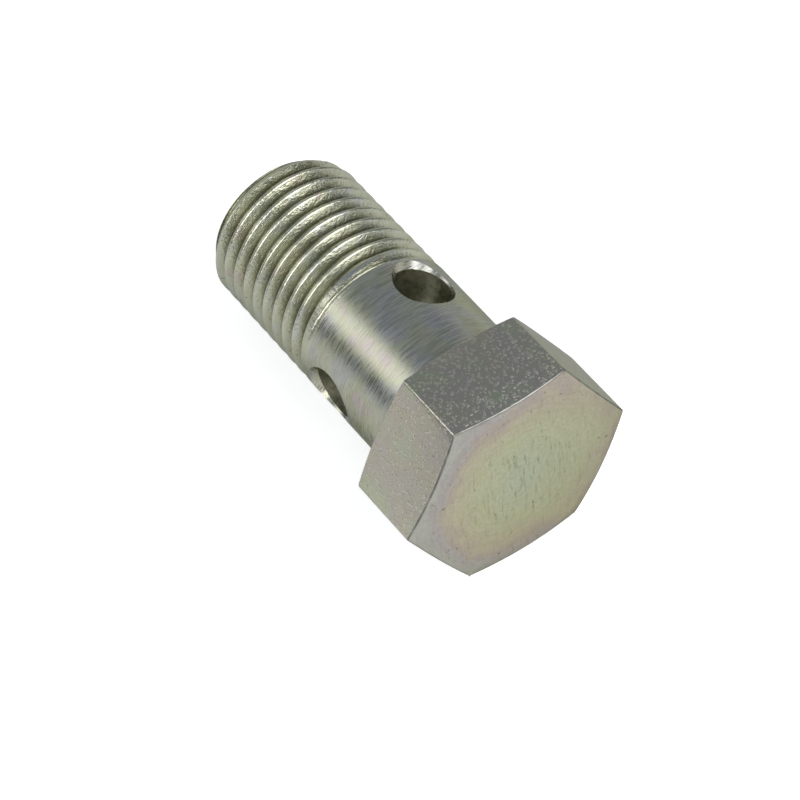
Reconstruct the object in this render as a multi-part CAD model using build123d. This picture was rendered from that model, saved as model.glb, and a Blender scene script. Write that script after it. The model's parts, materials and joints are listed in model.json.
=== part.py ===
from build123d import *
from math import atan2, cos, radians, sin, tan
import os

# Banjo bolt: a hollow hexagon-head bolt that clamps a ring fitting and lets fluid through its core.
# It is one piece of steel. It is modelled along its own axis, Z, with the seat under the head at
# Z = 0, the head above it and the tip below, and then it is laid down as it comes to rest.
# Sizes are in millimetres and angles in degrees.

# Head
across_flats = 17.0
head_height = 7.35
face_diameter = 0.95 * across_flats     # flat circle inside the chamfer, on both ends of the head
head_chamfer_angle = 15.0
corner_radius = 0.3

# Shank and thread, which is G 1/4: 13.157 mm over the crests, 19 turns to the inch. Its grooves are
# rings of the thread's true section, with flats for the roundings and a shallow run-out at the shank.
under_head_length = 25.05
shank_diameter = 13.2
shank_length = 10.95
thread_diameter = 13.157
thread_pitch = 25.4 / 19
thread_depth = 0.640327 * thread_pitch
thread_angle = 55.0
thread_flat = thread_pitch / 6          # flat on each crest and at the bottom of each groove
run_out_depth = 0.5 * thread_depth
tip_diameter = 11.6
tip_chamfer_length = 1.2

# Axial passage, drilled from the tip
bore_diameter = 7.0
bore_mouth_diameter = 8.2
mouth_chamfer_angle = 90.0
bore_past_ports = 1.5                   # full bore above the ports, before the drill point
drill_point_angle = 118.0

# Radial ports through the shank
port_count = 3
port_diameter = 4.6
port_mouth_diameter = 5.3
port_countersink_angle = 60.0
port_distance = 8.25                    # from the seat to the ports' axes
port_clocking = 34.8                    # from the flat that the bolt lies on to the first port

cut_clearance = 1.0                     # how far a cutter runs past the surface that it opens

shank_radius = shank_diameter / 2
thread_radius = thread_diameter / 2
tip_radius = tip_diameter / 2
bore_radius = bore_diameter / 2
port_radius = port_diameter / 2
tip_chamfer_start = under_head_length - tip_chamfer_length

# The flat that the bolt lies on faces -Y before it is laid down.
resting_flat_direction = -90.0


def turned(outline):
    """Turn a closed outline of (radius, height) points about Z."""
    return revolve(Plane.XZ * make_face(Polyline(*outline, close=True)), Axis.Z)


def hexagon_head():
    """Hexagon prism with softened corners and a shallow turned chamfer round each end."""
    hexagon = RegularPolygon(across_flats / 2, side_count=6, major_radius=False)
    hexagon = fillet(hexagon.vertices(), corner_radius)
    prism = extrude(hexagon, head_height)

    face_radius = face_diameter / 2
    rim_radius = across_flats
    rim_drop = (rim_radius - face_radius) * tan(radians(head_chamfer_angle))
    envelope = turned([
        (0, 0),
        (face_radius, 0),
        (rim_radius, rim_drop),
        (rim_radius, head_height - rim_drop),
        (face_radius, head_height),
        (0, head_height),
    ])
    return prism & envelope


def shank_and_thread():
    """Plain shank, the thread's run-out and its grooves, and the chamfered tip."""
    flank_slope = tan(radians(thread_angle / 2))
    groove_width = thread_pitch - thread_flat
    run_out_width = 2 * run_out_depth * flank_slope
    first_groove = shank_length + run_out_width + thread_flat + groove_width / 2
    groove_count = 1 + int((tip_chamfer_start - groove_width / 2 - first_groove) / thread_pitch)
    run_out_radius = thread_radius - run_out_depth

    outline = [
        (0, 0),
        (shank_radius, 0),
        (shank_radius, -shank_length),
        (run_out_radius, -shank_length - run_out_width / 2),
        (run_out_radius, -first_groove + thread_flat / 2 + (thread_depth - run_out_depth) * flank_slope),
    ]
    for turn in range(groove_count):
        middle = -first_groove - turn * thread_pitch
        if turn > 0:
            outline.append((thread_radius, middle + groove_width / 2))
        outline += [
            (thread_radius - thread_depth, middle + thread_flat / 2),
            (thread_radius - thread_depth, middle - thread_flat / 2),
            (thread_radius, middle - groove_width / 2),
        ]
    outline += [
        (thread_radius, -tip_chamfer_start),
        (tip_radius, -under_head_length),
        (0, -under_head_length),
    ]
    return turned(outline)


def axial_passage():
    """Blind hole from the tip to just past the ports, with a drill point and a chamfered mouth."""
    mouth_slope = tan(radians(mouth_chamfer_angle / 2))
    mouth_radius = bore_mouth_diameter / 2
    mouth_depth = (mouth_radius - bore_radius) / mouth_slope
    outer_radius = mouth_radius + cut_clearance * mouth_slope
    bore_end = -port_distance + port_radius + bore_past_ports
    point_height = bore_radius / tan(radians(drill_point_angle / 2))
    return turned([
        (0, -under_head_length - cut_clearance),
        (outer_radius, -under_head_length - cut_clearance),
        (bore_radius, -under_head_length + mouth_depth),
        (bore_radius, bore_end),
        (0, bore_end + point_height),
    ])


def port(direction):
    """Drilled and countersunk radial hole, from the bolt's axis out through the shank."""
    slope = tan(radians(port_countersink_angle / 2))
    countersink_depth = (port_mouth_diameter / 2 - port_radius) / slope
    countersink_start = shank_radius - countersink_depth
    cutter_end = shank_radius + cut_clearance
    cutter = turned([
        (0, 0),
        (port_radius, 0),
        (port_radius, countersink_start),
        (port_radius + (cutter_end - countersink_start) * slope, cutter_end),
        (0, cutter_end),
    ])
    outward = (cos(radians(direction)), sin(radians(direction)), 0)
    return Plane(origin=(0, 0, -port_distance), z_dir=outward) * cutter


def banjo_bolt():
    """The whole bolt, upright along Z."""
    bolt = hexagon_head() + shank_and_thread() - axial_passage()
    first_direction = resting_flat_direction + port_clocking
    for index in range(port_count):
        bolt -= port(first_direction + index * 360 / port_count)
    return bolt


def laid_down(bolt):
    """Lay the bolt along X on a flat's seat-side edge and on the tip, with its box centred on Z."""
    flat_distance = across_flats / 2
    flat_start = (flat_distance - face_diameter / 2) * tan(radians(head_chamfer_angle))
    tilt = atan2(flat_distance - thread_radius, tip_chamfer_start + flat_start)
    towards_head = (cos(tilt), 0, sin(tilt))
    lying = Plane(origin=(0, 0, 0), x_dir=(0, 1, 0), z_dir=towards_head) * bolt
    box = lying.bounding_box()
    return Pos(-box.center().X, -box.center().Y, -box.min.Z) * lying


os.makedirs("parts", exist_ok=True)
export_step(laid_down(banjo_bolt()), "parts/banjo_bolt.step")
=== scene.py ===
import json
from math import atan2, cos, degrees, radians, sin, sqrt, tan
import bpy
from mathutils import Matrix, Vector


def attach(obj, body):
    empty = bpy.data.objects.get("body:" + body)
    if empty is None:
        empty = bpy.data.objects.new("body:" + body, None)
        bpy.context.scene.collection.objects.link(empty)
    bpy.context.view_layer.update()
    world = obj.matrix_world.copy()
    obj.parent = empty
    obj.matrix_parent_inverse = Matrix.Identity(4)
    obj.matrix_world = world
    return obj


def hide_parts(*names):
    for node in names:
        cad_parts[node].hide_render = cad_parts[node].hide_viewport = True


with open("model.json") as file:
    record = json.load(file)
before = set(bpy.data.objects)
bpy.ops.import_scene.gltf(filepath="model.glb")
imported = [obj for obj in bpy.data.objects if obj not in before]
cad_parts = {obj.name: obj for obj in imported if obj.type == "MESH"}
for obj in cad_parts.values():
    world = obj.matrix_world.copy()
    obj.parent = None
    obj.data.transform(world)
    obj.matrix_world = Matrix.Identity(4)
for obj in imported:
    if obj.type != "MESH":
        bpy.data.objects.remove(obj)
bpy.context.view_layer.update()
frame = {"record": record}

mm = 0.001
seamGap = 0.0002 * mm       # corners nearer to each other than this are joined


def deselectAll():
    if bpy.context.object and bpy.context.object.mode != "OBJECT":
        bpy.ops.object.mode_set(mode="OBJECT")
    bpy.ops.object.select_all(action="DESELECT")


def pickOnly(piece):
    deselectAll()
    piece.select_set(True)
    bpy.context.view_layer.objects.active = piece


def applyModifier(piece, kind, **settings):
    pickOnly(piece)
    modifier = piece.modifiers.new(kind.title(), kind)
    for setting, value in settings.items():
        setattr(modifier, setting, value)
    bpy.ops.object.modifier_apply(modifier=modifier.name)


def closeSeams(piece):
    pickOnly(piece)
    bpy.ops.object.mode_set(mode="EDIT")
    bpy.ops.mesh.select_all(action="SELECT")
    bpy.ops.mesh.remove_doubles(threshold=seamGap)
    bpy.ops.mesh.dissolve_degenerate(threshold=seamGap)
    bpy.ops.mesh.normals_make_consistent(inside=False)
    bpy.ops.object.mode_set(mode="OBJECT")


def drawOutline(name, points):
    # One corner, drawn on from point to point: points are (distance from the axis, place along it)
    deselectAll()
    bpy.ops.mesh.primitive_plane_add(size=mm, location=(0, 0, 0))
    piece = bpy.context.object
    piece.name = name
    bpy.ops.object.mode_set(mode="EDIT")
    bpy.ops.mesh.merge(type="CENTER")
    corners = [Vector((across * mm, 0, along * mm)) for across, along in points]
    bpy.ops.transform.translate(value=corners[0])
    for here, there in zip(corners, corners[1:]):
        bpy.ops.mesh.extrude_region_move(TRANSFORM_OT_translate={"value": there - here})
    bpy.ops.object.mode_set(mode="OBJECT")
    return piece


def turnSolid(name, points, steps):
    piece = drawOutline(name, points)
    # Turn the outline once round the Z axis
    applyModifier(piece, "SCREW", steps=steps, render_steps=steps, use_merge_vertices=True,
                  merge_threshold=seamGap)
    closeSeams(piece)
    return piece


def combine(piece, tool, operation):
    applyModifier(piece, "BOOLEAN", operation=operation, object=tool, solver="EXACT")
    bpy.data.objects.remove(tool)


def placeMesh(piece, matrix):
    pickOnly(piece)
    piece.matrix_world = matrix
    bpy.ops.object.transform_apply(location=True, rotation=True, scale=True)


def linearColour(hexCode, alpha=1.0):
    parts = [int(hexCode[i:i + 2], 16) / 255 for i in (1, 3, 5)]
    return [c / 12.92 if c <= 0.04045 else ((c + 0.055) / 1.055) ** 2.4 for c in parts] + [alpha]


def addNode(tree, kind, inputs=None, stops=None, **settings):
    node = tree.nodes.new("ShaderNode" + kind)
    for setting, value in settings.items():
        setattr(node, setting, value)
    for socket, value in (inputs or {}).items():
        if isinstance(value, bpy.types.NodeSocket):
            tree.links.new(value, node.inputs[socket])
        else:
            node.inputs[socket].default_value = value
    if stops:
        elements = node.color_ramp.elements
        while len(elements) < len(stops):
            elements.new(0.5)
        for element, (place, hexCode) in zip(elements, stops):
            element.position = place
            element.color = linearColour(hexCode)
    return node


cameraView = {
    "place": (0.144426, -0.090499, 0.241209),
    "right": (0.57016, 0.82086, -0.03331),
    "up": (-0.65949, 0.48150, 0.57727),
    "back": (0.48990, -0.30717, 0.81587),
    "lens": 171.68,
    "sensor": 36.0,
}

deselectAll()
bpy.ops.object.camera_add(location=cameraView["place"])
camera = bpy.context.object
camera.name = "camera"
turnedTo = Matrix((cameraView["right"], cameraView["up"], cameraView["back"])).transposed().to_4x4()
camera.matrix_world = Matrix.Translation(cameraView["place"]) @ turnedTo
camera.data.lens = cameraView["lens"]
camera.data.sensor_width = cameraView["sensor"]
camera.data.clip_start = 0.01
camera.data.clip_end = 20
bpy.context.scene.camera = camera
print("camera placed")


# Millimetres and degrees, along the bolt's own axis: 0 is the seat under the head, the head is
# above it and the tip below. Directions round the axis are counted from where flat number one is.
boltSizes = {
    "acrossFlats": 17.0,
    "headHeight": 7.35,
    "faceDiameter": 16.15,
    "headChamferAngle": 15.0,
    "chamferEndRadius": 13.0,        # out past the corners
    "cornerRadius": 0.3,
    "edgeRadius": 0.1,
    "edgeAngle": 40.0,               # edges that turn more than this are rounded
    "underHeadLength": 25.05,
    "shankDiameter": 13.2,
    "shankLength": 10.95,
    "shankInHead": 0.5,
    "shankEndLength": 0.02,          # over which the shank steps down to the thread
    "tipDiameter": 11.6,
    "tipChamferLength": 1.2,
    "boreDiameter": 7.0,
    "boreMouthDiameter": 8.2,
    "borePastPorts": 1.5,
    "drillPointAngle": 118.0,
    "portDiameter": 4.6,
    "portMouthDiameter": 5.3,
    "portCountersinkAngle": 60.0,
    "portDistance": 8.25,
    "firstPortDirection": -55.2,
    "portCount": 3,
    "pastMetal": 1.0,                # how far a cutter reaches past what it cuts
    "roundSteps": 144,
    "boreSteps": 96,
    "portSteps": 64,
    "smoothAngle": 28.0,             # faces that meet flatter than this are shaded as one
}

threadSizes = {
    "diameter": 13.157,
    "pitch": 25.4 / 19,
    "depth": 0.856,
    "flankAngle": 27.5,
    "roundingRadius": 0.184,
    "roundingSteps": 4,
    "crestLand": 0.04,
    "pastCrest": 0.3,                # how far the cutter reaches past the crests
    "stepsPerTurn": 120,
    "turns": 11,
    "lastGroovePlace": -11.26,       # where the groove has run out of the metal
    "lastGrooveDirection": 158.0,
    "runOut": 135.0,                 # degrees over which it climbs out
}


def threadGroove():
    # A 55 degree groove with a round bottom and round shoulders, swept as a right-hand helix
    sizes = threadSizes
    outer = sizes["diameter"] / 2
    bottom = outer - sizes["depth"]
    rounding = sizes["roundingRadius"]
    widest = (sizes["pitch"] - sizes["crestLand"]) / 2
    sweep = radians(90 - sizes["flankAngle"])
    angles = [sweep * step / sizes["roundingSteps"] for step in range(sizes["roundingSteps"] + 1)]
    half = [(bottom + rounding * (1 - cos(a)), rounding * sin(a)) for a in angles]
    half += [(outer - rounding * (1 - cos(a)), min(sizes["pitch"] / 2 - rounding * sin(a), widest))
             for a in reversed(angles)]
    half.append((outer + sizes["pastCrest"], widest))
    section = [(across, -along) for across, along in reversed(half[1:])] + half

    start = sizes["lastGroovePlace"] - sizes["turns"] * sizes["pitch"]
    groove = drawOutline("threadGroove", [(across, start + along) for across, along in section])
    closeOutline(groove)
    placeMesh(groove, Matrix.Rotation(radians(sizes["lastGrooveDirection"]), 4, "Z"))
    applyModifier(groove, "SCREW", steps=sizes["stepsPerTurn"], render_steps=sizes["stepsPerTurn"],
                  screw_offset=sizes["pitch"] * mm, iterations=sizes["turns"])
    climbOut(groove)
    fillHoles(groove)
    return groove


def closeOutline(piece):
    pickOnly(piece)
    bpy.ops.object.mode_set(mode="EDIT")
    bpy.ops.mesh.select_all(action="DESELECT")
    bpy.ops.object.mode_set(mode="OBJECT")
    for corner in (piece.data.vertices[0], piece.data.vertices[-1]):
        corner.select = True
    bpy.ops.object.mode_set(mode="EDIT")
    bpy.ops.mesh.edge_face_add()
    bpy.ops.object.mode_set(mode="OBJECT")


def fillHoles(piece):
    pickOnly(piece)
    bpy.ops.object.mode_set(mode="EDIT")
    bpy.ops.mesh.select_all(action="SELECT")
    bpy.ops.mesh.fill_holes(sides=0)
    bpy.ops.mesh.select_all(action="SELECT")
    bpy.ops.mesh.normals_make_consistent(inside=False)
    bpy.ops.object.mode_set(mode="OBJECT")


def climbOut(groove):
    # Lift the end of the helix out of the metal, as the tool was drawn back while the work turned
    sizes = threadSizes
    for corner in groove.data.vertices:
        direction = degrees(atan2(corner.co.y, corner.co.x)) - sizes["lastGrooveDirection"]
        behind = (corner.co.z / mm - sizes["lastGroovePlace"]) / sizes["pitch"] - direction / 360
        left = -(round(behind) * 360 + direction)      # degrees still to go
        if left < sizes["runOut"]:
            lift = sizes["depth"] * (1 - left / sizes["runOut"])
            across = sqrt(corner.co.x ** 2 + corner.co.y ** 2)
            corner.co.x *= 1 + lift * mm / across
            corner.co.y *= 1 + lift * mm / across


def portDirections():
    first, count = boltSizes["firstPortDirection"], boltSizes["portCount"]
    return [first + index * 360 / count for index in range(count)]


def hollowBody():
    sizes = boltSizes
    tipStart = -sizes["underHeadLength"] + sizes["tipChamferLength"]
    body = turnSolid("banjoBolt", [
        (0, sizes["shankInHead"]),
        (sizes["shankDiameter"] / 2, sizes["shankInHead"]),
        (sizes["shankDiameter"] / 2, -sizes["shankLength"]),
        (threadSizes["diameter"] / 2, -sizes["shankLength"] - sizes["shankEndLength"]),
        (threadSizes["diameter"] / 2, tipStart),
        (sizes["tipDiameter"] / 2, -sizes["underHeadLength"]),
        (0, -sizes["underHeadLength"]),
    ], sizes["roundSteps"])
    combine(body, axialPassage(), "DIFFERENCE")
    for direction in portDirections():
        combine(body, portCutter(direction), "DIFFERENCE")
    return body


def hexagonHead():
    sizes = boltSizes
    top = sizes["headHeight"]
    faceRadius = sizes["faceDiameter"] / 2
    deselectAll()
    bpy.ops.mesh.primitive_cylinder_add(vertices=6, radius=sizes["acrossFlats"] / sqrt(3) * mm,
                                        depth=(top + 2 * sizes["pastMetal"]) * mm,
                                        location=(0, 0, top / 2 * mm))
    head = bpy.context.object
    head.name = "head"
    placeMesh(head, Matrix.Rotation(radians(30), 4, "Z") @ head.matrix_world)

    # Soften the six upright corners
    for edge in head.data.edges:
        low, high = (head.data.vertices[i].co for i in edge.vertices)
        edge.select = abs(low.z - high.z) > mm
    pickOnly(head)
    bpy.ops.object.mode_set(mode="EDIT")
    bpy.ops.mesh.select_mode(type="EDGE")
    bpy.ops.mesh.bevel(offset=sizes["cornerRadius"] * tan(radians(30)) * mm, segments=4)
    bpy.ops.mesh.select_mode(type="VERT")
    bpy.ops.object.mode_set(mode="OBJECT")

    # Turn the shallow chamfer round each end
    rim = sizes["chamferEndRadius"]
    rimDrop = (rim - faceRadius) * tan(radians(sizes["headChamferAngle"]))
    envelope = turnSolid("envelope", [(0, 0), (faceRadius, 0), (rim, rimDrop), (rim, top - rimDrop),
                                      (faceRadius, top), (0, top)], sizes["roundSteps"])
    combine(head, envelope, "INTERSECT")
    applyModifier(head, "BEVEL", width=sizes["edgeRadius"] * mm, segments=3, limit_method="ANGLE",
                  angle_limit=radians(sizes["edgeAngle"]), use_clamp_overlap=True)
    return head


def axialPassage():
    sizes = boltSizes
    bore = sizes["boreDiameter"] / 2
    mouth = sizes["boreMouthDiameter"] / 2
    tip = -sizes["underHeadLength"]
    boreEnd = -sizes["portDistance"] + sizes["portDiameter"] / 2 + sizes["borePastPorts"]
    point = bore / tan(radians(sizes["drillPointAngle"] / 2))
    return turnSolid("passage", [
        (0, tip - sizes["pastMetal"]),
        (mouth + sizes["pastMetal"], tip - sizes["pastMetal"]),
        (bore, tip + mouth - bore),
        (bore, boreEnd),
        (0, boreEnd + point),
    ], sizes["boreSteps"])


def portCutter(direction):
    sizes = boltSizes
    port = sizes["portDiameter"] / 2
    outside = sizes["shankDiameter"] / 2
    end = outside + sizes["pastMetal"]
    slope = tan(radians(sizes["portCountersinkAngle"] / 2))
    sinkStart = outside - (sizes["portMouthDiameter"] / 2 - port) / slope
    cutter = turnSolid("portCutter", [
        (0, 0),
        (port, 0),
        (port, sinkStart),
        (port + (end - sinkStart) * slope, end),
        (0, end),
    ], sizes["portSteps"])
    outward = Matrix.Rotation(radians(direction), 4, "Z") @ Matrix.Rotation(radians(90), 4, "Y")
    placeMesh(cutter, Matrix.Translation((0, 0, -sizes["portDistance"] * mm)) @ outward)
    return cutter


# The seat's middle and the way to the head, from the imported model's seat
seatMount = next(mount for mount in frame["record"]["mounts"] if mount["name"] == "seat")
seatPlace = Vector((seatMount["pos_m"][0], 0, seatMount["pos_m"][2]))
towardsHead = -Vector(seatMount["axis"]).normalized()
sideways = Vector((0, 1, 0))
lying = Matrix((sideways, towardsHead.cross(sideways), towardsHead)).transposed()


def startZinc(name, roughness):
    # Electroplated zinc under a clear chromate film: a grey metal with a faint yellow-green cast
    material = bpy.data.materials.new(name)
    material.use_nodes = True
    tree = material.node_tree
    shader = tree.nodes["Principled BSDF"]
    shader.inputs["Metallic"].default_value = 1.0
    shader.inputs["Roughness"].default_value = roughness
    # The film swallows light that comes in at a low angle, so the outline stays darker than bare metal
    shader.inputs["Specular Tint"].default_value = linearColour("#B9BBAE")
    # Millimetres along the bolt's own axes, Z towards the head
    whole = addNode(tree, "TexCoord").outputs["Object"]
    place = addNode(tree, "Mapping", {"Vector": whole, "Location": seatPlace,
                                      "Rotation": lying.to_euler(), "Scale": (mm, mm, mm)},
                    vector_type="TEXTURE").outputs[0]
    return material, tree, shader, place


def distanceFromAxis(tree, place):
    parts = addNode(tree, "SeparateXYZ", {0: place}).outputs
    across = addNode(tree, "CombineXYZ", {0: parts[0], 1: parts[1]}).outputs[0]
    return addNode(tree, "VectorMath", {0: across}, operation="LENGTH").outputs["Value"]


def turnedZinc():
    # Turned on a lathe, then plated: fine rings round the axis that spread the light along it.
    # Real tool marks are about 0.05 mm apart, drawn at 0.1 mm so that they show.
    material, tree, shader, place = startZinc("turnedZinc", 0.28)
    stretched = addNode(tree, "Mapping", {"Vector": place, "Scale": (0.7, 0.7, 10.0)}).outputs[0]
    rings = addNode(tree, "TexNoise", {"Vector": stretched, "Scale": 1.0, "Detail": 3.0,
                                       "Roughness": 0.6}).outputs["Fac"]
    clouds = addNode(tree, "TexNoise", {"Vector": place, "Scale": 0.35, "Detail": 3.0}).outputs["Fac"]
    tint = addNode(tree, "ValToRGB", {"Fac": clouds},
                   stops=[(0.3, "#B2B0AC"), (0.42, "#B4B4AA"), (0.55, "#B4B49D"), (0.68, "#B4ABA5")])
    streaks = addNode(tree, "ValToRGB", {"Fac": rings}, stops=[(0.35, "#E0E0E0"), (0.6, "#FFFFFF")])
    colour = addNode(tree, "Mix", {0: 1.0, 6: tint.outputs[0], 7: streaks.outputs[0]},
                     data_type="RGBA", blend_type="MULTIPLY").outputs[2]
    tree.links.new(colour, shader.inputs["Base Color"])
    gloss = addNode(tree, "MapRange", {"Value": rings, "From Min": 0.3, "From Max": 0.7,
                                       "To Min": 0.2, "To Max": 0.4}).outputs[0]
    tree.links.new(gloss, shader.inputs["Roughness"])
    bump = addNode(tree, "Bump", {"Height": rings, "Strength": 1.0, "Distance": 0.011 * mm}).outputs[0]
    tree.links.new(bump, shader.inputs["Normal"])
    return material


def drawnZinc():
    # Hexagon bar, cold drawn and pickled before plating: small pits and grains about 0.2 mm across,
    # which sparkle against a dark sky and go quiet against a pale floor
    material, tree, shader, place = startZinc("drawnZinc", 0.27)
    clouds = addNode(tree, "TexNoise", {"Vector": place, "Scale": 0.28, "Detail": 2.0}).outputs["Fac"]
    tint = addNode(tree, "ValToRGB", {"Fac": clouds},
                   stops=[(0.3, "#BDC0AF"), (0.42, "#C2BBAA"), (0.54, "#C1B9B0"), (0.68, "#C0C1AB")])
    grains = addNode(tree, "TexNoise", {"Vector": place, "Scale": 4.4, "Detail": 1.0,
                                        "Roughness": 0.5}).outputs["Fac"]
    spots = addNode(tree, "MapRange", {"Value": grains, "From Min": 0.56, "From Max": 0.66}).outputs[0]
    # The grains are also coloured lighter: painted sparkle, added to the real glints from their bumps
    pits = addNode(tree, "ValToRGB", {"Fac": spots}, stops=[(0.0, "#E9E9E6"), (1.0, "#FFFFFF")])
    colour = addNode(tree, "Mix", {0: 1.0, 6: tint.outputs[0], 7: pits.outputs[0]},
                     data_type="RGBA", blend_type="MULTIPLY").outputs[2]
    tree.links.new(colour, shader.inputs["Base Color"])
    bump = addNode(tree, "Bump", {"Height": spots, "Strength": 1.0, "Distance": 0.014 * mm}).outputs[0]
    tree.links.new(bump, shader.inputs["Normal"])
    return material


def facedZinc():
    # The head's end, faced on a lathe: the chromate film thins towards the edges, so its colour goes
    # from green-yellow through orange and pink to lilac and blue-grey, with fine scratches and specks
    material, tree, shader, place = startZinc("facedZinc", 0.33)
    radius = distanceFromAxis(tree, place)
    # How far out towards the nearest of the hexagon's sides, in millimetres
    side = None
    for direction in (30, 90, 150):
        outward = (cos(radians(direction)), sin(radians(direction)), 0)
        reach = addNode(tree, "VectorMath", {0: place, 1: outward}, operation="DOT_PRODUCT").outputs["Value"]
        reach = addNode(tree, "Math", {0: reach}, operation="ABSOLUTE").outputs[0]
        if side:
            reach = addNode(tree, "Math", {0: reach, 1: side, 2: 1.0}, operation="SMOOTH_MAX").outputs[0]
        side = reach
    # How thin the film is: more so towards the sides and the rim and a little more on one side, with
    # clouds about 5 mm wide and blotches about 1 mm wide
    parts = addNode(tree, "SeparateXYZ", {0: place}).outputs
    clouds = addNode(tree, "TexNoise", {"Vector": place, "Scale": 0.22, "Detail": 2.0}).outputs["Fac"]
    blotches = addNode(tree, "TexNoise", {"Vector": place, "Scale": 0.9, "Detail": 3.0}).outputs["Fac"]
    film = addNode(tree, "Math", {0: side, 1: radius}, operation="ADD").outputs[0]
    for part, weight in ((clouds, 6.0), (parts[0], -0.3), (blotches, 5.0)):
        film = addNode(tree, "Math", {0: part, 1: weight, 2: film}, operation="MULTIPLY_ADD").outputs[0]
    film = addNode(tree, "MapRange", {"Value": film, "From Min": 3.5, "From Max": 24.9}).outputs[0]
    tint = addNode(tree, "ValToRGB", {"Fac": film},
                   stops=[(0.15, "#B4B8A2"), (0.5, "#B7B79A"), (0.7, "#B6AF99"), (0.8, "#B1A69A"),
                          (0.89, "#ABA5A2"), (0.98, "#AEACA3")])
    # Scratches 0.2 mm wide, all one way, and dark specks where a second pattern is low as well
    lengthwise = addNode(tree, "Mapping", {"Vector": place, "Scale": (5.0, 0.6, 1.0)}).outputs[0]
    scratches = addNode(tree, "TexNoise", {"Vector": lengthwise, "Scale": 1.0, "Detail": 3.0,
                                           "Roughness": 0.7}).outputs["Fac"]
    specks = addNode(tree, "TexNoise", {"Vector": place, "Scale": 2.6, "Detail": 1.0}).outputs["Fac"]
    marks = addNode(tree, "Math", {0: scratches, 1: specks}, operation="MULTIPLY").outputs[0]
    marks = addNode(tree, "ValToRGB", {"Fac": marks}, stops=[(0.09, "#AEAEA8"), (0.13, "#FFFFFF")])
    grain = addNode(tree, "TexNoise", {"Vector": place, "Scale": 3.5, "Detail": 4.0,
                                       "Roughness": 0.7}).outputs["Fac"]
    grain = addNode(tree, "ValToRGB", {"Fac": grain}, stops=[(0.35, "#F2F2F0"), (0.6, "#FFFFFF")])
    # Wiped strokes along the scratches, strongest round the middle
    strokes = addNode(tree, "ValToRGB", {"Fac": scratches}, stops=[(0.36, "#CECEC4"), (0.46, "#FFFFFF")])
    central = addNode(tree, "MapRange", {"Value": radius, "From Min": 2.0, "From Max": 7.0,
                                         "To Min": 0.7, "To Max": 0.15}).outputs[0]
    # Faint arcs of the facing tool, 0.2 mm apart, that fade in and out over 4 mm
    outwards = addNode(tree, "Math", {0: radius, 1: 5.0}, operation="MULTIPLY").outputs[0]
    slow = [addNode(tree, "Math", {0: parts[axis], 1: 0.25}, operation="MULTIPLY").outputs[0]
            for axis in (0, 1)]
    ringed = addNode(tree, "CombineXYZ", {0: outwards, 1: slow[0], 2: slow[1]}).outputs[0]
    rings = addNode(tree, "TexNoise", {"Vector": ringed, "Scale": 1.0, "Detail": 2.0}).outputs["Fac"]
    arcs = addNode(tree, "ValToRGB", {"Fac": rings}, stops=[(0.38, "#F8F8F5"), (0.58, "#FFFFFF")])
    colour = tint.outputs[0]
    for layer, amount in ((marks, 1.0), (grain, 1.0), (strokes, central), (arcs, 1.0)):
        colour = addNode(tree, "Mix", {0: amount, 6: colour, 7: layer.outputs[0]},
                         data_type="RGBA", blend_type="MULTIPLY").outputs[2]
    tree.links.new(colour, shader.inputs["Base Color"])
    height = addNode(tree, "Math", {0: rings, 1: scratches}, operation="ADD").outputs[0]
    bump = addNode(tree, "Bump", {"Height": height, "Strength": 1.0, "Distance": 0.02 * mm}).outputs[0]
    tree.links.new(bump, shader.inputs["Normal"])
    return material


def threadedZinc():
    # Thread flanks, cut with a die and knocked about in the box: nicks and burrs across the crests,
    # and painted shade that makes the colour darker and yellower towards the bottom of the groove, lightest
    # at the crests
    material, tree, shader, place = startZinc("threadedZinc", 0.26)
    radius = distanceFromAxis(tree, place)
    clouds = addNode(tree, "TexNoise", {"Vector": place, "Scale": 0.5, "Detail": 3.0}).outputs["Fac"]
    tint = addNode(tree, "ValToRGB", {"Fac": clouds},
                   stops=[(0.3, "#B6B8B2"), (0.45, "#BABAA9"), (0.6, "#B7B7A2"), (0.72, "#B5ACA2")])
    # From the groove's bottom to just under the crests
    worn = addNode(tree, "MapRange", {"Value": radius, "From Min": 5.72, "From Max": 6.55}).outputs[0]
    # Painted shade: dark and yellow at the groove's bottom, lightening up the flanks to the crests
    wear = addNode(tree, "ValToRGB", {"Fac": worn},
                   stops=[(0.0, "#AAA894"), (0.35, "#F0F0E6"), (1.0, "#FFFFFF")])
    lengthwise = addNode(tree, "Mapping", {"Vector": place, "Scale": (3.4, 3.4, 1.3)}).outputs[0]
    nicks = addNode(tree, "TexNoise", {"Vector": lengthwise, "Scale": 1.0, "Detail": 4.0,
                                       "Roughness": 0.65}).outputs["Fac"]
    spots = addNode(tree, "ValToRGB", {"Fac": nicks}, stops=[(0.3, "#AEAEA6"), (0.4, "#FFFFFF")])
    colour = tint.outputs[0]
    for layer in (wear, spots):
        colour = addNode(tree, "Mix", {0: 1.0, 6: colour, 7: layer.outputs[0]},
                         data_type="RGBA", blend_type="MULTIPLY").outputs[2]
    tree.links.new(colour, shader.inputs["Base Color"])
    bump = addNode(tree, "Bump", {"Height": nicks, "Strength": 1.0, "Distance": 0.05 * mm}).outputs[0]
    tree.links.new(bump, shader.inputs["Normal"])
    return material


def drilledZinc():
    # Drilled holes: dull and coloured darker than the outside, with rough marks of the drill
    material, tree, shader, place = startZinc("drilledZinc", 0.42)
    marks = addNode(tree, "TexNoise", {"Vector": place, "Scale": 1.6, "Detail": 5.0,
                                       "Roughness": 0.7}).outputs["Fac"]
    tint = addNode(tree, "ValToRGB", {"Fac": marks}, stops=[(0.35, "#8C8B78"), (0.6, "#B8B69C")])
    tree.links.new(tint.outputs[0], shader.inputs["Base Color"])
    bump = addNode(tree, "Bump", {"Height": marks, "Strength": 1.0, "Distance": 0.06 * mm}).outputs[0]
    tree.links.new(bump, shader.inputs["Normal"])
    return material


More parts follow.
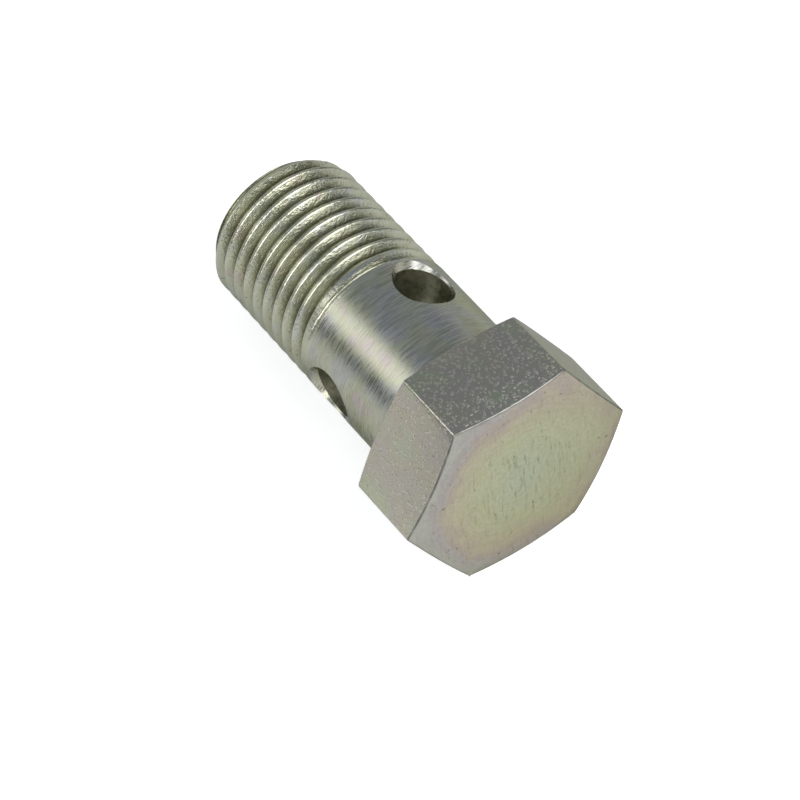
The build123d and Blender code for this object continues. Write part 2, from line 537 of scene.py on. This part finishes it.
def rubbedEdge():
    # The head's front edges: painted shade, a darker colour that stands in for the dark lines along them
    material, tree, shader, place = startZinc("rubbedEdge", 0.36)
    rubs = addNode(tree, "TexNoise", {"Vector": place, "Scale": 1.5, "Detail": 3.0}).outputs["Fac"]
    # Painted shade: a dark grey, mottled, on the edge bevels
    tint = addNode(tree, "ValToRGB", {"Fac": rubs}, stops=[(0.35, "#6E6E69"), (0.65, "#8F8E86")])
    tree.links.new(tint.outputs[0], shader.inputs["Base Color"])
    return material


def finishOf(face):
    # Told from where a face lies, in millimetres, and which way it looks
    sizes = boltSizes
    slack = 0.05
    centre = face.center / mm
    fromAxis = sqrt(centre.x ** 2 + centre.y ** 2)
    outward = (face.normal.x * centre.x + face.normal.y * centre.y) / max(fromAxis, 0.01)
    if centre.z > 0.001:
        # The head, with its seat below
        return "faced" if face.normal.z > 0.94 else "edge" if face.normal.z > 0.15 else "drawn"
    if centre.z > -0.001:
        return "turned"
    if centre.z > -sizes["shankLength"]:
        onShank = fromAxis > sizes["shankDiameter"] / 2 - slack and outward > 0.9
        # The ports' countersinks are turned, their walls and the bore drilled
        ways = [radians(direction) for direction in portDirections()]
        fromPort = min(sqrt((centre.z + sizes["portDistance"]) ** 2
                            + (centre.x * sin(way) - centre.y * cos(way)) ** 2) for way in ways)
        sunk = fromAxis > sizes["boreDiameter"] / 2 + slack and fromPort > sizes["portDiameter"] / 2 + 0.01
        return "turned" if onShank or sunk else "drilled"
    if outward < -0.3 or fromAxis < sizes["boreMouthDiameter"] / 2:
        return "drilled"
    return "turned" if face.normal.z < -0.95 else "threaded"


def giveFinishes(bolt):
    finishes = {"turned": turnedZinc(), "drawn": drawnZinc(), "faced": facedZinc(),
                "threaded": threadedZinc(), "drilled": drilledZinc(), "edge": rubbedEdge()}
    bolt.data.materials.clear()
    for finish in finishes.values():
        bolt.data.materials.append(finish)
    order = list(finishes)
    for face in bolt.data.polygons:
        face.material_index = order.index(finishOf(face))


banjoBolt = hollowBody()
print("body turned and drilled")
combine(banjoBolt, threadGroove(), "DIFFERENCE")
print("thread cut")
combine(banjoBolt, hexagonHead(), "UNION")
closeSeams(banjoBolt)
print("head joined")
giveFinishes(banjoBolt)
placeMesh(banjoBolt, Matrix.Translation(seatPlace) @ lying.to_4x4())
pickOnly(banjoBolt)
bpy.ops.object.shade_smooth_by_angle(angle=radians(boltSizes["smoothAngle"]))
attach(banjoBolt, "root")
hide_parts("banjo_bolt")
print("bolt finished")


stageSizes = {
    "floorSide": 3.0,
    "floorColour": "#E9E9E9",
    "floorGlow": 0.04,               # added where the floor is seen or mirrored
    "cameraGlow": 0.48,              # and more where the camera sees it, so that it reads as white
    "skyLow": "#51575C",
    "skyHigh": "#99A1AA",
}

# Each lamp: the way to it, how far, its width and height, and its power in watts
lamps = {
    "sideBox": ((-0.50, -0.67, 0.55), 0.6, (0.3, 0.3), 0.55),
    "frontBox": ((0.70, 0.34, 0.62), 0.6, (0.32, 0.32), 1.95),
    "leftBox": ((0.64, -0.56, 0.53), 0.6, (0.28, 0.28), 1.85),
    "topBox": ((0.30, 0.30, 0.90), 0.7, (0.45, 0.45), 1.0),
    "backPanel": ((-0.85, 0.50, 0.18), 0.7, (0.9, 0.35), 0.5),
}

deselectAll()
bpy.ops.mesh.primitive_plane_add(size=stageSizes["floorSide"], location=(0, 0, 0))
studioFloor = bpy.context.object
studioFloor.name = "studioFloor"

floorPaper = bpy.data.materials.new("whitePaper")
floorPaper.use_nodes = True
tree = floorPaper.node_tree
shader = tree.nodes["Principled BSDF"]
shader.inputs["Base Color"].default_value = linearColour(stageSizes["floorColour"])
shader.inputs["Roughness"].default_value = 0.9
shader.inputs["Specular IOR Level"].default_value = 0.0
shader.inputs["Emission Color"].default_value = (1, 1, 1, 1)
rays = addNode(tree, "LightPath")
seen = addNode(tree, "Math", {0: rays.outputs["Is Camera Ray"], 1: rays.outputs["Is Glossy Ray"]},
               operation="MAXIMUM").outputs[0]
seen = addNode(tree, "Math", {0: seen, 1: rays.outputs["Is Transmission Ray"]},
               operation="MAXIMUM").outputs[0]
glow = addNode(tree, "Math", {0: seen, 1: stageSizes["floorGlow"]}, operation="MULTIPLY").outputs[0]
glow = addNode(tree, "Math", {0: rays.outputs["Is Camera Ray"], 1: stageSizes["cameraGlow"], 2: glow},
               operation="MULTIPLY_ADD").outputs[0]
tree.links.new(glow, shader.inputs["Emission Strength"])
studioFloor.data.materials.append(floorPaper)

world = bpy.data.worlds.new("studioAir")
bpy.context.scene.world = world
world.use_nodes = True
tree = world.node_tree
height = addNode(tree, "SeparateXYZ", {0: addNode(tree, "TexCoord").outputs["Generated"]}).outputs[2]
sky = addNode(tree, "ValToRGB", {"Fac": height}, stops=[(0.2, stageSizes["skyLow"]),
                                                        (0.45, stageSizes["skyHigh"])]).outputs[0]
rays = addNode(tree, "LightPath")
sky = addNode(tree, "Mix", {0: rays.outputs["Is Camera Ray"], 6: sky, 7: (1, 1, 1, 1)},
              data_type="RGBA").outputs[2]
tree.links.new(sky, tree.nodes["Background"].inputs["Color"])

for name, (direction, distance, size, power) in lamps.items():
    deselectAll()
    place = Vector(direction).normalized() * distance
    bpy.ops.object.light_add(type="AREA", location=place)
    lamp = bpy.context.object
    lamp.name = name
    lamp.data.shape = "RECTANGLE"
    lamp.data.size, lamp.data.size_y = size
    lamp.data.energy = power
    lamp.rotation_euler = (-place).to_track_quat("-Z", "Y").to_euler()
print("stage lit")

bpy.context.scene.view_settings.view_transform = "Standard"
